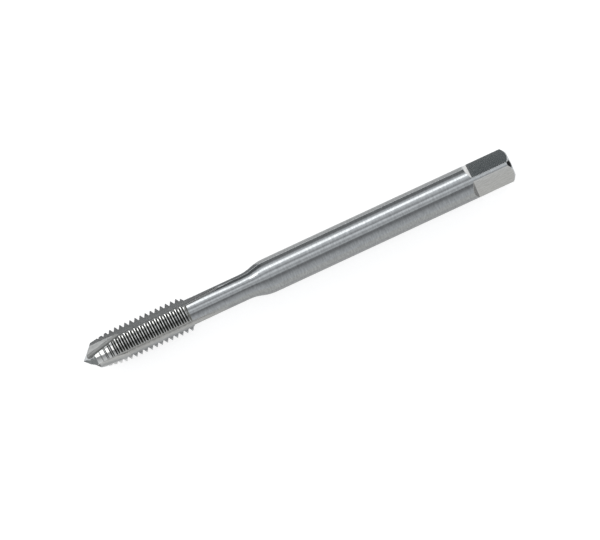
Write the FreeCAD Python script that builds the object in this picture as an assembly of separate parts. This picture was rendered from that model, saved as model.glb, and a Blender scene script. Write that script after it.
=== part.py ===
import FreeCAD, Part
import math
import os

from FreeCAD import Vector

# Machine tap for an M8 coarse thread: three straight flutes, a spiral point, a slim neck and a driving square.
# It was ground from one bar, so it is one solid. It lies on its side along X, with its point towards -X.
# The origin is the centre of the end face behind the square. Lengths are in mm and angles in degrees.

# Lengths along the axis, each measured from the tip unless it says otherwise
overall_length = 105.0
point_length = 3.0
lead_length = 5.8
thread_end = 25.1
neck_start = 26.0
neck_end = 39.5
shank_start = 45.7
square_length = 9.3
end_chamfer_length = 0.95
end_chamfer_crown = 0.03

# Sizes across the axis
point_diameter = 6.34
thread_diameter = 8.08
neck_diameter = 6.0
shank_diameter = 8.0
square_across_flats = 6.2
end_face_diameter = 5.75

# Right-hand thread with sixty-degree flanks
pitch = 1.25
flank_angle = 60.0
crest_flat = 0.16
root_flat = 0.19
groove_start = 2.66

# Flutes, ground with a wheel that lifts out into the neck
flute_count = 3
flute_angle = 65.0
flute_back_angle = 67.4
hook_angle = 2.0
flute_radius = 1.7
flute_end = 25.1
wheel_radius = 75.0

# Spiral point, a grind that runs aslant under each cutting edge and throws the chips ahead of the tap.
# Its back is a plane, and it slides along that plane as it sinks in towards the tip.
spiral_length = 10.3
spiral_slope = 12.3
spiral_radius = 1.6
spiral_back_angle = 27.4
spiral_back_offset = 0.86

# Driving square, whose flats run out up a slope in the shank
square_runout_angle = 45.0

# How the lands and the square are turned about the axis as the tap lies
land_turn = 2.6
square_turn = 3.6

# Room that every cutter has beyond the metal it takes away
overrun = 1.5

tip = -overall_length
crest_radius = thread_diameter / 2
shank_radius = shank_diameter / 2
neck_radius = neck_diameter / 2
outside_radius = max(crest_radius, shank_radius) + overrun
axis_x = Vector(1, 0, 0)


def sine(angle):
    return math.sin(math.radians(angle))


def cosine(angle):
    return math.cos(math.radians(angle))


def tangent(angle):
    return math.tan(math.radians(angle))


def ease(x_from, r_from, x_to, r_to):
    """Two equal arcs that join two radii with no corner."""
    half_run = (x_to - x_from) / 2
    half_rise = (r_to - r_from) / 2
    radius = (half_run ** 2 + half_rise ** 2) / (2 * abs(half_rise))
    half_turn = math.asin(half_run / radius) / 2
    step = radius * math.sin(half_turn)
    lift = math.copysign(radius * (1 - math.cos(half_turn)), half_rise)
    middle = Vector((x_from + x_to) / 2, 0, (r_from + r_to) / 2)
    first = Part.Arc(Vector(x_from, 0, r_from), Vector(x_from + step, 0, r_from + lift), middle)
    second = Part.Arc(middle, Vector(x_to - step, 0, r_to - lift), Vector(x_to, 0, r_to))
    return [first.toShape(), second.toShape()]


def crowned(x_from, r_from, x_to, r_to, crown):
    """A chamfer that bulges a little, as a ground one does."""
    run = x_to - x_from
    rise = r_to - r_from
    lift = crown / math.hypot(run, rise)
    middle = Vector((x_from + x_to) / 2 - rise * lift, 0, (r_from + r_to) / 2 + run * lift)
    return Part.Arc(Vector(x_from, 0, r_from), middle, Vector(x_to, 0, r_to)).toShape()


def turned_blank():
    """The bar as it leaves the lathe and the cylindrical grinder."""
    def chain(points):
        corners = [Vector(x, 0, r) for x, r in points]
        return [Part.LineSegment(a, b).toShape() for a, b in zip(corners, corners[1:])]

    front = [
        (tip, 0.0),
        (tip + point_length, point_diameter / 2),
        (tip + point_length + lead_length, crest_radius),
        (tip + thread_end, crest_radius),
        (tip + neck_start, neck_radius),
        (tip + neck_end, neck_radius),
    ]
    shank = [(tip + shank_start, shank_radius), (-end_chamfer_length, shank_radius)]
    rear = [(0.0, end_face_diameter / 2), (0.0, 0.0), (tip, 0.0)]
    edges = chain(front) + ease(*front[-1], *shank[0]) + chain(shank)
    edges += [crowned(*shank[-1], *rear[0], end_chamfer_crown)] + chain(rear)
    outline = Part.Face(Part.Wire(edges))
    return outline.revolve(Vector(0, 0, 0), axis_x, 360)


def groove_sector():
    """The helical groove over one land, from the middle of a flute to the middle of the next.

    Its rim is a little proud of the crests, so that it cuts them clean.
    """
    flank_slope = tangent(flank_angle / 2)
    depth = (pitch - crest_flat - root_flat) / (2 * flank_slope)
    proud = crest_flat / (4 * flank_slope)
    root_radius = crest_radius - depth
    rim_radius = crest_radius + proud
    root_half = root_flat / 2
    rim_half = root_half + (depth + proud) * flank_slope
    rails = []
    for radius, shift in ((rim_radius, -rim_half), (root_radius, -root_half),
                          (root_radius, root_half), (rim_radius, rim_half)):
        rail = Part.makeHelix(pitch, pitch / flute_count, radius)
        rail.translate(Vector(0, 0, shift))
        rails.append(rail.Edges[0])
    faces = [Part.makeRuledSurface(a, b) for a, b in zip(rails, rails[1:] + rails[:1])]
    for end in (0, -1):
        corners = [rail.Vertexes[end].Point for rail in rails]
        faces.append(Part.Face(Part.makePolygon(corners + corners[:1])))
    shell = Part.makeShell(faces)
    shell.sewShape()
    sector = Part.makeSolid(Part.Shell(shell.Faces))
    sector.rotate(Vector(0, 0, 0), Vector(0, 1, 0), 90)
    return sector


def thread_grooves():
    """The sectors in a row make one right-hand groove, broken by the flutes."""
    step = 360 / flute_count
    first_turn = land_turn + step / 2
    sector = groove_sector()
    count = math.ceil((neck_start - groove_start) / pitch * flute_count)
    grooves = []
    for i in range(count):
        groove = sector.copy()
        groove.rotate(Vector(0, 0, 0), axis_x, 180 - first_turn + i * step)
        groove.translate(Vector(tip + groove_start + i * pitch / flute_count, 0, 0))
        grooves.append(groove)
    return grooves


def across(x, out, side, turn):
    """A point beside the axis: out is along a flute's middle, side is towards the edge that it cuts with."""
    return Vector(
        x,
        out * sine(turn) - side * cosine(turn),
        out * cosine(turn) + side * sine(turn),
    )


def cutting_edge():
    """Where the cutting face meets the crests, beside a flute's middle, and how far the face leans from it."""
    half = flute_angle / 2
    return crest_radius * cosine(half), crest_radius * sine(half), half - hook_angle


def groove_section(x, turn, centre, radius, back_angle):
    """A cutter's section: a straight cutting face, a round bottom and a straight back, open to the outside."""
    edge_out, edge_side, lean = cutting_edge()
    face_end = (centre[0] - radius * sine(lean), centre[1] + radius * cosine(lean))
    back_start = (centre[0] - radius * sine(back_angle), centre[1] - radius * cosine(back_angle))
    middle = (back_angle - lean) / 2
    bottom = (centre[0] - radius * cosine(middle), centre[1] - radius * sine(middle))
    face_top = (outside_radius, edge_side + (outside_radius - edge_out) * tangent(lean))
    back_top = (outside_radius, back_start[1] - (outside_radius - back_start[0]) * tangent(back_angle))

    def at(pair):
        return across(x, pair[0], pair[1], turn)

    sides = [
        Part.LineSegment(at(face_top), at(face_end)).toShape(),
        Part.Arc(at(face_end), at(bottom), at(back_start)).toShape(),
        Part.LineSegment(at(back_start), at(back_top)).toShape(),
        Part.LineSegment(at(back_top), at(face_top)).toShape(),
    ]
    return Part.Face(Part.Wire(sides))


def round_bottom(radius, back_angle, back_offset):
    """The centre of a round bottom that touches the cutting face and a back this far from the axis."""
    edge_out, edge_side, lean = cutting_edge()
    from_face = edge_out * sine(lean) - edge_side * cosine(lean) + radius
    from_back = back_offset + radius
    spread = sine(lean + back_angle)
    return ((from_face * cosine(back_angle) + from_back * cosine(lean)) / spread,
            (from_back * sine(lean) - from_face * sine(back_angle)) / spread)


def flute(turn):
    """A straight flute and the curve in which the wheel leaves it."""
    # Its back ends at the heel of the next land, as far from the flute's middle as the cutting edge is
    back_offset = crest_radius * sine(flute_back_angle - flute_angle / 2)
    centre = round_bottom(flute_radius, flute_back_angle, back_offset)
    core_radius = math.hypot(*centre) - flute_radius
    section = groove_section(tip + flute_end, turn, centre, flute_radius, flute_back_angle)
    straight = section.extrude(Vector(-flute_end - overrun, 0, 0))
    sweep = math.degrees(math.acos(1 - (outside_radius - core_radius) / wheel_radius))
    wheel_centre = across(tip + flute_end, core_radius + wheel_radius, 0, turn)
    return [straight, section.revolve(wheel_centre, across(0, 0, 1, turn), sweep)]


def spiral_point(turn):
    """The slanting grind at the tip, which takes the cutting face back with it."""
    centre = round_bottom(spiral_radius, spiral_back_angle, spiral_back_offset)
    section = groove_section(tip + spiral_length, turn, centre, spiral_radius, spiral_back_angle)
    run = spiral_length + overrun
    sink = run * tangent(spiral_slope)
    return section.extrude(across(-run, -sink * cosine(spiral_back_angle), sink * sine(spiral_back_angle), turn))


def driving_flat(turn):
    """What is ground away over one flat of the square, with its sloping run-out."""
    flat = square_across_flats / 2
    rise = outside_radius - flat
    side = outside_radius
    corners = [
        (overrun, flat),
        (-square_length, flat),
        (-square_length - rise / tangent(square_runout_angle), outside_radius),
        (overrun, outside_radius),
    ]
    points = [across(x, out, -side, turn) for x, out in corners]
    section = Part.Face(Part.makePolygon(points + points[:1]))
    return section.extrude(across(0, 0, 2 * side, turn))


def build_tap():
    body = turned_blank()
    for i in range(flute_count):
        turn = land_turn + (i + 0.5) * 360 / flute_count
        for cutter in flute(turn) + [spiral_point(turn)]:
            body = body.cut(cutter)
    for i in range(4):
        body = body.cut(driving_flat(square_turn + 45 + 90 * i))
    return body.cut(thread_grooves())


tap = build_tap()
os.makedirs("parts", exist_ok=True)
tap.exportStep("parts/tap.step")
print("solids", len(tap.Solids), "valid", tap.isValid(), "volume", round(tap.Volume, 2), "faces", len(tap.Faces))
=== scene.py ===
import math

import bmesh
import bpy
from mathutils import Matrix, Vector


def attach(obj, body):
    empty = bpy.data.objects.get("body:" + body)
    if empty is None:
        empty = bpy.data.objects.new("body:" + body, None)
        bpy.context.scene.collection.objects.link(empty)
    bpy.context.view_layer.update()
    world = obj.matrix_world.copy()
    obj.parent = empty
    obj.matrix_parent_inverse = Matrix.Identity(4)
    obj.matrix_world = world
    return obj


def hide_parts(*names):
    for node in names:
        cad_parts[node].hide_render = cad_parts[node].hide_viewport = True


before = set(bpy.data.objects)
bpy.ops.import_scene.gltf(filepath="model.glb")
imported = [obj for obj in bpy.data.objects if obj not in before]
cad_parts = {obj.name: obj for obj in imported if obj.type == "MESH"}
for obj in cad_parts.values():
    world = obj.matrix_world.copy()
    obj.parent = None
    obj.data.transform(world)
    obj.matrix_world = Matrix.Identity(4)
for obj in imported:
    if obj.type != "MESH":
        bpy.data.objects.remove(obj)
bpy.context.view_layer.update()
print("frame loaded")

millimetre = 0.001


# Stage: camera, floor and light

camera = {
    "aimX": -0.05260,  # the spot in the middle of the picture
    "aimY": -0.001795,
    "roll": -24.90,  # the tap runs up to the right
    "lens": 300.0,
    "sensor": 36.0,
    "pictureWidth": 0.1339,  # metres across the picture at the tap's axis
    "clipEnd": 20.0,
}


def makeCamera():
    data = bpy.data.cameras.new("topCamera")
    data.lens = camera["lens"]
    data.sensor_width = camera["sensor"]
    data.clip_end = camera["clipEnd"]
    height = camera["pictureWidth"] * camera["lens"] / camera["sensor"]
    obj = bpy.data.objects.new("topCamera", data)
    obj.location = (camera["aimX"], camera["aimY"], height)
    obj.rotation_euler = (0.0, 0.0, math.radians(camera["roll"]))
    bpy.context.scene.collection.objects.link(obj)
    bpy.context.scene.camera = obj


def newMaterial(name):
    material = bpy.data.materials.new(name)
    material.use_nodes = True
    material.node_tree.nodes.clear()
    return material, material.node_tree.nodes, material.node_tree.links


floor = {
    "halfSide": 2.0,
    "height": -0.00401,  # just under the shank
    "colour": (0.55, 0.55, 0.55, 1.0),
    "glow": 0.74,  # lifts the open floor to white and leaves the shadow
}


def makeFloor():
    bm = bmesh.new()
    bmesh.ops.create_grid(bm, x_segments=1, y_segments=1, size=floor["halfSide"])
    bmesh.ops.translate(bm, verts=bm.verts, vec=(0.0, 0.0, floor["height"]))
    mesh = bpy.data.meshes.new("floor")
    bm.to_mesh(mesh)
    bm.free()
    material, nodes, links = newMaterial("paleFloor")
    output = nodes.new("ShaderNodeOutputMaterial")
    add = nodes.new("ShaderNodeAddShader")
    diffuse = nodes.new("ShaderNodeBsdfDiffuse")
    diffuse.inputs["Color"].default_value = floor["colour"]
    glow = nodes.new("ShaderNodeEmission")
    path = nodes.new("ShaderNodeLightPath")
    seen = nodes.new("ShaderNodeMath")
    seen.operation = "MAXIMUM"
    either = nodes.new("ShaderNodeMath")
    either.operation = "MAXIMUM"
    level = nodes.new("ShaderNodeMath")
    level.operation = "MULTIPLY"
    level.inputs[1].default_value = floor["glow"]
    links.new(path.outputs["Is Camera Ray"], seen.inputs[0])
    links.new(path.outputs["Is Glossy Ray"], seen.inputs[1])
    links.new(seen.outputs[0], either.inputs[0])
    links.new(path.outputs["Is Transmission Ray"], either.inputs[1])
    links.new(either.outputs[0], level.inputs[0])
    links.new(level.outputs[0], glow.inputs["Strength"])
    links.new(diffuse.outputs[0], add.inputs[0])
    links.new(glow.outputs[0], add.inputs[1])
    links.new(add.outputs[0], output.inputs["Surface"])
    mesh.materials.append(material)
    obj = bpy.data.objects.new("floor", mesh)
    bpy.context.scene.collection.objects.link(obj)


# Cards round the tap, which only its polish sees. Each is one line swept straight:
# the two ends of the line, the sweep and the colour.
cards = {
    "farTipFlag": {
        "from": (-0.170, 0.017, -0.0030),
        "to": (-0.062, 0.017, -0.0030),
        "sweep": (0.0, 0.0, 0.0084),
        "colour": (0.130, 0.135, 0.140),
    },
    "farFlag": {
        "from": (-0.062, 0.017, -0.0030),
        "to": (-0.0088, 0.017, -0.0030),
        "sweep": (0.0, 0.0, 0.0084),
        "colour": (0.22, 0.225, 0.23),
    },
    "farEndFlag": {
        "from": (-0.0088, 0.017, -0.0030),
        "to": (0.060, 0.017, -0.0030),
        "sweep": (0.0, 0.0, 0.0084),
        "colour": (0.118, 0.132, 0.140),
    },
    "farTipBoard": {
        "from": (-0.104, 0.0045, -0.0039),
        "to": (-0.062, 0.0045, -0.0039),
        "sweep": (0.0, 0.012, 0.0),
        "colour": (0.26, 0.265, 0.27),
    },
    "farBoard": {
        "from": (-0.062, 0.0045, -0.0039),
        "to": (-0.010, 0.0045, -0.0039),
        "sweep": (0.0, 0.012, 0.0),
        "colour": (0.62, 0.62, 0.62),
    },
    "nearFlag": {
        "from": (-0.170, -0.017, -0.0040),
        "to": (0.060, -0.017, -0.0040),
        "sweep": (0.0, 0.0, 0.010),
        "colour": (0.61, 0.61, 0.60),
    },
    "nearBoard": {
        "from": (-0.103, -0.0043, -0.0039),
        "to": (-0.006, -0.0043, -0.0039),
        "sweep": (0.0, -0.0126, 0.0),
        "colour": (0.53, 0.53, 0.53),
    },
    "tipFlag": {
        "from": (-0.150, -0.0003, -0.0039),
        "to": (-0.1065, -0.0003, -0.0039),
        "sweep": (0.0, -0.0166, 0.0),
        "colour": (0.36, 0.37, 0.37),
    },
    "tipLamp": {
        "from": (-0.1070, -0.0070, 0.03),
        "to": (-0.1070, 0.0085, 0.03),
        "sweep": (-0.0120, 0.0, 0.0),
        "colour": (1.6, 1.6, 1.6),
    },
    "threadLamp": {
        "from": (-0.0975, 0.0250, 0.03),
        "to": (-0.0975, 0.0430, 0.03),
        "sweep": (0.0175, 0.0, 0.0),
        "colour": (2.5, 2.5, 2.5),
    },
    "cornerFlag": {
        "from": (-0.004, -0.0060, -0.0039),
        "to": (0.008, -0.0060, -0.0039),
        "sweep": (0.0, -0.0100, 0.0),
        "colour": (0.25, 0.25, 0.25),
    },
    "endBoard": {
        "from": (0.018, -0.0060, -0.0039),
        "to": (0.018, 0.0060, -0.0039),
        "sweep": (0.042, 0.0, 0.0),
        "colour": (0.02, 0.02, 0.02),
    },
    "endFlag": {
        "from": (0.030, -0.006, -0.0040),
        "to": (0.030, 0.006, -0.0040),
        "sweep": (0.0, 0.0, 0.0078),
        "colour": (0.02, 0.02, 0.02),
    },
}


def makeCard(name):
    card = cards[name]
    bm = bmesh.new()
    edge = bm.edges.new([bm.verts.new(card["from"]), bm.verts.new(card["to"])])
    swept = bmesh.ops.extrude_edge_only(bm, edges=[edge])["geom"]
    moved = [v for v in swept if isinstance(v, bmesh.types.BMVert)]
    bmesh.ops.translate(bm, verts=moved, vec=card["sweep"])
    mesh = bpy.data.meshes.new(name)
    bm.to_mesh(mesh)
    bm.free()
    material, nodes, links = newMaterial(name + "Paint")
    output = nodes.new("ShaderNodeOutputMaterial")
    paint = nodes.new("ShaderNodeEmission")
    paint.inputs["Color"].default_value = (*card["colour"], 1.0)
    links.new(paint.outputs[0], output.inputs["Surface"])
    mesh.materials.append(material)
    obj = bpy.data.objects.new(name, mesh)
    obj.visible_camera = False
    obj.visible_diffuse = False
    obj.visible_transmission = False
    obj.visible_shadow = False
    bpy.context.scene.collection.objects.link(obj)


# The dome over the tap. Each band is an angle and a brightness: degrees from straight up,
# less than 0 towards the far side and more than 0 towards the near side.
dome = {
    "bands": [
        (-180, 0.60), (-100, 0.50), (-88, 0.26), (-80, 0.38), (-73, 0.62), (-66, 0.78),
        (-58, 0.45), (-46, 0.95), (-39, 0.80), (-32, 0.68), (-26, 0.46), (-20, 0.52),
        (-13, 0.88), (-7, 0.82), (0, 0.54), (8, 0.60), (13, 0.60), (18, 0.29),
        (25, 0.25), (33, 0.33), (46, 0.46), (60, 0.56), (78, 0.61), (180, 0.60),
    ],
    "horizon": 1.0,
    "horizonTop": 0.20,  # sines of the heights between which the pale horizon fades into the bands
    "horizonEdge": 0.10,
    "tint": (0.98, 1.0, 1.03),
}


def makeWorld():
    world = bpy.data.worlds.new("studioDome")
    bpy.context.scene.world = world
    world.use_nodes = True
    nodes = world.node_tree.nodes
    links = world.node_tree.links
    nodes.clear()
    output = nodes.new("ShaderNodeOutputWorld")
    light = nodes.new("ShaderNodeBackground")
    direction = nodes.new("ShaderNodeTexCoord")
    split = nodes.new("ShaderNodeSeparateXYZ")
    towardsNear = nodes.new("ShaderNodeMath")
    towardsNear.operation = "MULTIPLY"
    towardsNear.inputs[1].default_value = -1.0
    angle = nodes.new("ShaderNodeMath")
    angle.operation = "ARCTAN2"
    turn = nodes.new("ShaderNodeMapRange")
    turn.inputs["From Min"].default_value = -math.pi
    turn.inputs["From Max"].default_value = math.pi
    ramp = nodes.new("ShaderNodeValToRGB")
    ramp.color_ramp.interpolation = "CARDINAL"
    stops = ramp.color_ramp.elements
    last = len(dome["bands"]) - 1
    for i, (degrees, level) in enumerate(dome["bands"]):
        place = (degrees + 180.0) / 360.0
        if i == 0:
            stop = stops[0]
        elif i == last:
            stop = stops[len(stops) - 1]
        else:
            stop = stops.new(place)
        stop.position = place
        stop.color = (*(level * share for share in dome["tint"]), 1.0)
    height = nodes.new("ShaderNodeMapRange")
    height.interpolation_type = "SMOOTHSTEP"
    height.inputs["From Min"].default_value = dome["horizonEdge"]
    height.inputs["From Max"].default_value = dome["horizonTop"]
    mix = nodes.new("ShaderNodeMix")
    mix.data_type = "RGBA"
    mix.inputs["A"].default_value = (dome["horizon"],) * 3 + (1.0,)
    links.new(direction.outputs["Generated"], split.inputs[0])
    links.new(split.outputs["Y"], towardsNear.inputs[0])
    links.new(towardsNear.outputs[0], angle.inputs[0])
    links.new(split.outputs["Z"], angle.inputs[1])
    links.new(angle.outputs[0], turn.inputs["Value"])
    links.new(turn.outputs["Result"], ramp.inputs["Fac"])
    links.new(split.outputs["Z"], height.inputs["Value"])
    links.new(height.outputs["Result"], mix.inputs["Factor"])
    links.new(ramp.outputs["Color"], mix.inputs["B"])
    links.new(mix.outputs["Result"], light.inputs["Color"])
    links.new(light.outputs[0], output.inputs["Surface"])


keyLight = {
    "tilt": -54.5,  # degrees from straight up, on the far side
    "distance": 0.75,
    "length": 1.8,
    "width": 0.20,
    "watts": 1.5,
}


def makeKeyLight():
    data = bpy.data.lights.new("stripBox", "AREA")
    data.shape = "RECTANGLE"
    data.size = keyLight["length"]
    data.size_y = keyLight["width"]
    data.energy = keyLight["watts"]
    obj = bpy.data.objects.new("stripBox", data)
    lean = math.radians(keyLight["tilt"])
    away = -math.sin(lean) * keyLight["distance"]
    obj.location = (camera["aimX"], away, math.cos(lean) * keyLight["distance"])
    obj.rotation_euler = (lean, 0.0, 0.0)
    bpy.context.scene.collection.objects.link(obj)


bpy.context.scene.view_settings.view_transform = "Standard"
makeCamera()
makeFloor()
for cardName in cards:
    makeCard(cardName)
makeWorld()
makeKeyLight()
print("stage set")


# Steel: one bar, finished in several ways, and the thread and tip grind also in lit and shaded copies.
# Mottle is how far the grain lightens and darkens the colour, depth is how much of its relief shows,
# and edge is how wide the worn corners with their painted glint are, in metres.

steel = {
    "shank": {
        "colour": (0.495, 0.511, 0.518), "roughness": 0.12, "edge": 0.00012,
        "grain": (2600.0, 900.0, 900.0), "depth": 0.3, "mottle": 0.30,
    },
    "square": {
        "colour": (0.64, 0.643, 0.635), "roughness": 0.18, "edge": 0.00012,
        "grain": (900.0, 3000.0, 3000.0), "depth": 0.12, "mottle": 0.16,
    },
    "flute": {
        "colour": (0.60, 0.603, 0.595), "roughness": 0.26, "edge": 0.00006,
        "grain": (900.0, 3000.0, 3000.0), "depth": 0.4, "mottle": 0.22,
    },
    "end": {
        "colour": (0.60, 0.603, 0.595), "roughness": 0.45, "edge": 0.00008,
        "grain": (6000.0, 900.0, 900.0), "depth": 0.5, "mottle": 0.16,
    },
    # painted highlight: the crests are painted far lighter than bare steel, standing in for their glint
    "crestPaintedHighlight": {
        "colour": (0.955, 0.965, 0.92), "roughness": 0.16, "edge": 0.00008,
        "grain": (9000.0, 400.0, 400.0), "depth": 0.2, "mottle": 0.10,
    },
    # painted shade: the flanks are painted dark, standing in for the shade in the grooves
    "flankPaintedShade": {
        "colour": (0.22, 0.223, 0.208), "roughness": 0.10, "edge": 0.00008,
        "grain": (9000.0, 400.0, 400.0), "depth": 0.2, "mottle": 0.10,
    },
    # a painted middle shade for the groove bottoms, darker than the lit crests and lighter than the
    # shaded flanks
    "root": {
        "colour": (0.64, 0.644, 0.63), "roughness": 0.16, "edge": 0.0,
        "grain": (9000.0, 400.0, 400.0), "depth": 0.2, "mottle": 0.10,
    },
    "point": {
        "colour": (0.56, 0.563, 0.552), "roughness": 0.50, "edge": 0.0,
        "grain": (900.0, 3000.0, 3000.0), "depth": 0.4, "mottle": 0.30,
    },
    # painted shade: the shaded side of the tip grind's round bottom
    "hollowPaintedShade": {
        "colour": (0.27, 0.273, 0.266), "roughness": 0.45, "edge": 0.0,
        "grain": (900.0, 3000.0, 3000.0), "depth": 0.4, "mottle": 0.25,
    },
    # painted light: the lit side of the same round bottom, lighter than the ground steel
    "rakePaintedLight": {
        "colour": (0.72, 0.723, 0.71), "roughness": 0.40, "edge": 0.0,
        "grain": (900.0, 3000.0, 3000.0), "depth": 0.4, "mottle": 0.22,
    },
}
grainLook = {
    "detail": 3.0,
    "relief": 0.00001,
}
# painted glint: worn edges are painted near white, partly wear and partly standing in for their shine
edges = {
    "colour": (0.92, 0.925, 0.93, 1.0),
    "samples": 8,
    "sharpFrom": 0.985,  # cosines of the turn between which the worn edge and its painted glint fade in
    "sharpTo": 0.85,
}


# Rounds the shading at corners and paints them near white: wear together with a painted glint
def addWornEdgesAndPaintedGlint(look, nodes, links, bump, metal, shader):
    rounded = nodes.new("ShaderNodeBevel")
    rounded.samples = edges["samples"]
    rounded.inputs["Radius"].default_value = look["edge"]
    surface = nodes.new("ShaderNodeNewGeometry")
    turned = nodes.new("ShaderNodeVectorMath")
    turned.operation = "DOT_PRODUCT"
    wornAndGlint = nodes.new("ShaderNodeMapRange")
    wornAndGlint.inputs["From Min"].default_value = edges["sharpFrom"]
    wornAndGlint.inputs["From Max"].default_value = edges["sharpTo"]
    paint = nodes.new("ShaderNodeMix")
    paint.data_type = "RGBA"
    paint.inputs["B"].default_value = edges["colour"]
    links.new(metal.outputs["Result"], paint.inputs["A"])
    links.new(rounded.outputs["Normal"], bump.inputs["Normal"])
    links.new(rounded.outputs["Normal"], turned.inputs[0])
    links.new(surface.outputs["Normal"], turned.inputs[1])
    links.new(turned.outputs["Value"], wornAndGlint.inputs["Value"])
    links.new(wornAndGlint.outputs["Result"], paint.inputs["Factor"])
    links.new(paint.outputs["Result"], shader.inputs["Base Color"])


def shaded(colour, share):
    return (*(min(1.0, level * share) for level in colour), 1.0)


def steelMaterial(finish):
    look = steel[finish]
    material, nodes, links = newMaterial(finish + "Steel")
    output = nodes.new("ShaderNodeOutputMaterial")
    shader = nodes.new("ShaderNodeBsdfPrincipled")
    shader.inputs["Metallic"].default_value = 1.0
    shader.inputs["Roughness"].default_value = look["roughness"]
    place = nodes.new("ShaderNodeTexCoord")
    stretch = nodes.new("ShaderNodeMapping")
    stretch.inputs["Scale"].default_value = look["grain"]
    grain = nodes.new("ShaderNodeTexNoise")
    grain.inputs["Scale"].default_value = 1.0
    grain.inputs["Detail"].default_value = grainLook["detail"]
    metal = nodes.new("ShaderNodeMix")
    metal.data_type = "RGBA"
    metal.inputs["A"].default_value = shaded(look["colour"], 1.0 - look["mottle"])
    metal.inputs["B"].default_value = shaded(look["colour"], 1.0 + look["mottle"])
    bump = nodes.new("ShaderNodeBump")
    bump.inputs["Strength"].default_value = look["depth"]
    bump.inputs["Distance"].default_value = grainLook["relief"]
    links.new(place.outputs["Object"], stretch.inputs["Vector"])
    links.new(stretch.outputs["Vector"], grain.inputs["Vector"])
    links.new(grain.outputs["Fac"], metal.inputs["Factor"])
    links.new(grain.outputs["Fac"], bump.inputs["Height"])
    if look["edge"]:
        addWornEdgesAndPaintedGlint(look, nodes, links, bump, metal, shader)
    else:
        links.new(metal.outputs["Result"], shader.inputs["Base Color"])
    links.new(bump.outputs["Normal"], shader.inputs["Normal"])
    links.new(shader.outputs[0], output.inputs["Surface"])
    return material


# Where each finish lies, in mm from the rear end face along the axis and out from it.
# A lean is how much of a face's normal points along the axis.
tapZones = {
    "squareFrom": -10.4,
    "flatOut": 3.1,
    "flatSlack": 0.02,
    "flatLean": 0.02,
    "runOutTo": -9.0,
    "runOutLean": 0.6,
    "endLean": 0.99,
    "fluteTo": -60.0,
    "fluteDeepest": 2.985,  # nearer the axis than this, all is ground away
    "fluteTurn": 0.85,  # and so is a face whose normal points less straight out than this cosine
    "threadTo": -79.0,
    "flankLean": 0.5,
    "rootOut": 3.4,
    "rootLean": 0.05,
    "coneTo": -101.9,
    "coneLean": 0.6,
}
# The slanting grind at the tip: a plane, then a round bottom that climbs to the cutting edge
pointGrind = {
    "to": -94.4,
    "wallLean": 0.01,  # what is left of the flutes' straight walls beside the grind
    "wallTurn": -0.2,
    "wallOut": 1.5,
    "turns": (62.6, 182.6, 302.6),  # degrees round the axis to the middle of each flute
    "planeTilt": 27.4,
    "planeOut": 0.86,
    "slack": 0.03,
    "bottomFrom": -94.7,
    "bottomAt": (4.031, 0.681),  # out and aside to the centre of the round bottom there
    "bottomSlide": (-0.1936, 0.1003),  # and how far that centre slides for each mm towards the tip
    "brightFrom": 58.0,  # degrees round the bottom from the plane, where its painted shade gives way to painted light
}
finishes = list(steel)


def grindFinish(centre):
    tilt = math.radians(pointGrind["planeTilt"])
    towardsPlane = Vector((-math.sin(tilt), -math.cos(tilt)))
    places = []
    for degrees in pointGrind["turns"]:
        turn = math.radians(degrees)
        out = (centre.y * math.sin(turn) + centre.z * math.cos(turn)) / millimetre
        aside = (centre.z * math.sin(turn) - centre.y * math.cos(turn)) / millimetre
        places.append((out, aside))
    place = Vector(max(places))  # in the flute that the face lies in
    if abs(place.dot(towardsPlane) + pointGrind["planeOut"]) < pointGrind["slack"]:
        return "point"
    run = pointGrind["bottomFrom"] - centre.x / millimetre
    spoke = place - Vector(pointGrind["bottomAt"]) - run * Vector(pointGrind["bottomSlide"])
    climb = math.degrees(spoke.angle(towardsPlane))
    # the round bottom is painted shade up to brightFrom and painted light past it
    return "rakePaintedLight" if climb > pointGrind["brightFrom"] else "hollowPaintedShade"


def endFinish(x, level, normal):
    offFlat = abs(level - tapZones["flatOut"])
    onFlat = abs(normal.x) < tapZones["flatLean"] and offFlat < tapZones["flatSlack"]
    onRunOut = normal.x > tapZones["runOutLean"] and x < tapZones["runOutTo"]
    if onFlat or onRunOut:
        return "square"
    return "end" if normal.x > tapZones["endLean"] else "shank"


def threadFinish(x, out, normal):
    onCone = x < tapZones["coneTo"] and normal.x < -tapZones["coneLean"]
    if x > tapZones["threadTo"] or onCone:
        return "shank"
    # the flanks get painted shade, the roots a painted middle shade and the crests a painted highlight
    if abs(normal.x) > tapZones["flankLean"]:
        return "flankPaintedShade"
    onRoot = out < tapZones["rootOut"] and abs(normal.x) < tapZones["rootLean"]
    return "root" if onRoot else "crestPaintedHighlight"


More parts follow.
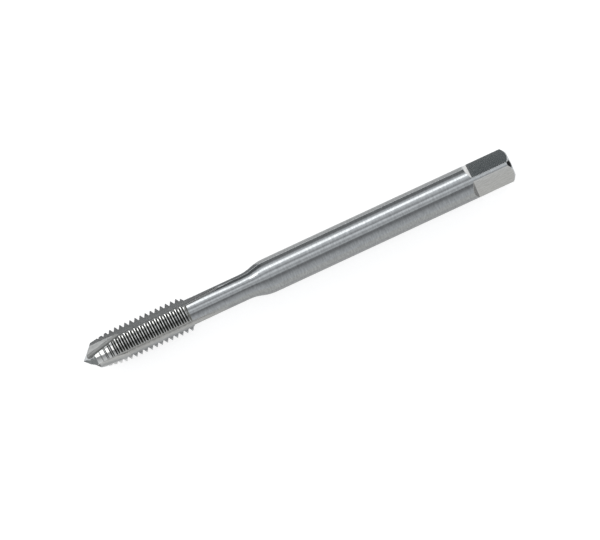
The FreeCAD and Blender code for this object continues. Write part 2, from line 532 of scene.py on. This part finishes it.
def finishOf(centre, normal):
    x = centre.x / millimetre
    out = math.hypot(centre.y, centre.z) / millimetre
    radial = Vector((0.0, centre.y, centre.z)).normalized().dot(normal)
    level = centre.dot(Vector((0.0, normal.y, normal.z))) / millimetre
    if x > tapZones["squareFrom"]:
        return endFinish(x, level, normal)
    if x > tapZones["fluteTo"]:
        return "shank"
    ground = out < tapZones["fluteDeepest"] or radial < tapZones["fluteTurn"]
    if abs(normal.x) >= tapZones["flankLean"] or not ground:
        return threadFinish(x, out, normal)
    straight = abs(normal.x) < pointGrind["wallLean"] and radial > pointGrind["wallTurn"]
    if x > pointGrind["to"] or straight and level > pointGrind["wallOut"]:
        return "flute"
    return grindFinish(centre)


# How the CAD mesh is cleaned: lengths in metres, angles in degrees
tapMesh = {
    "mergeWithin": 0.000001,
    "thinnest": 0.0000005,
    "flattenUnder": 0.3,
    "creaseOver": 24.0,
    "creaseBetweenFinishes": 8.0,
}


def makeTap():
    bm = bmesh.new()
    bm.from_mesh(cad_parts["tap"].data)
    bmesh.ops.remove_doubles(bm, verts=bm.verts, dist=tapMesh["mergeWithin"])
    bmesh.ops.dissolve_degenerate(bm, edges=bm.edges, dist=tapMesh["thinnest"])
    flattenUnder = math.radians(tapMesh["flattenUnder"])
    bmesh.ops.dissolve_limit(bm, angle_limit=flattenUnder, verts=bm.verts, edges=bm.edges)
    bmesh.ops.recalc_face_normals(bm, faces=bm.faces)
    for face in bm.faces:
        face.smooth = True
        face.material_index = finishes.index(finishOf(face.calc_center_median(), face.normal))
    for edge in bm.edges:
        if len(edge.link_faces) != 2:
            edge.smooth = False
            continue
        first, second = edge.link_faces
        sameFinish = first.material_index == second.material_index
        limit = tapMesh["creaseOver" if sameFinish else "creaseBetweenFinishes"]
        edge.smooth = edge.calc_face_angle() < math.radians(limit)
    mesh = bpy.data.meshes.new("tapBody")
    bm.to_mesh(mesh)
    bm.free()
    for finish in finishes:
        mesh.materials.append(steelMaterial(finish))
    obj = bpy.data.objects.new("tapBody", mesh)
    bpy.context.scene.collection.objects.link(obj)
    even = obj.modifiers.new("evenNormals", "WEIGHTED_NORMAL")
    even.keep_sharp = True
    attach(obj, "root")
    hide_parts("tap")


makeTap()
print("tap finished")
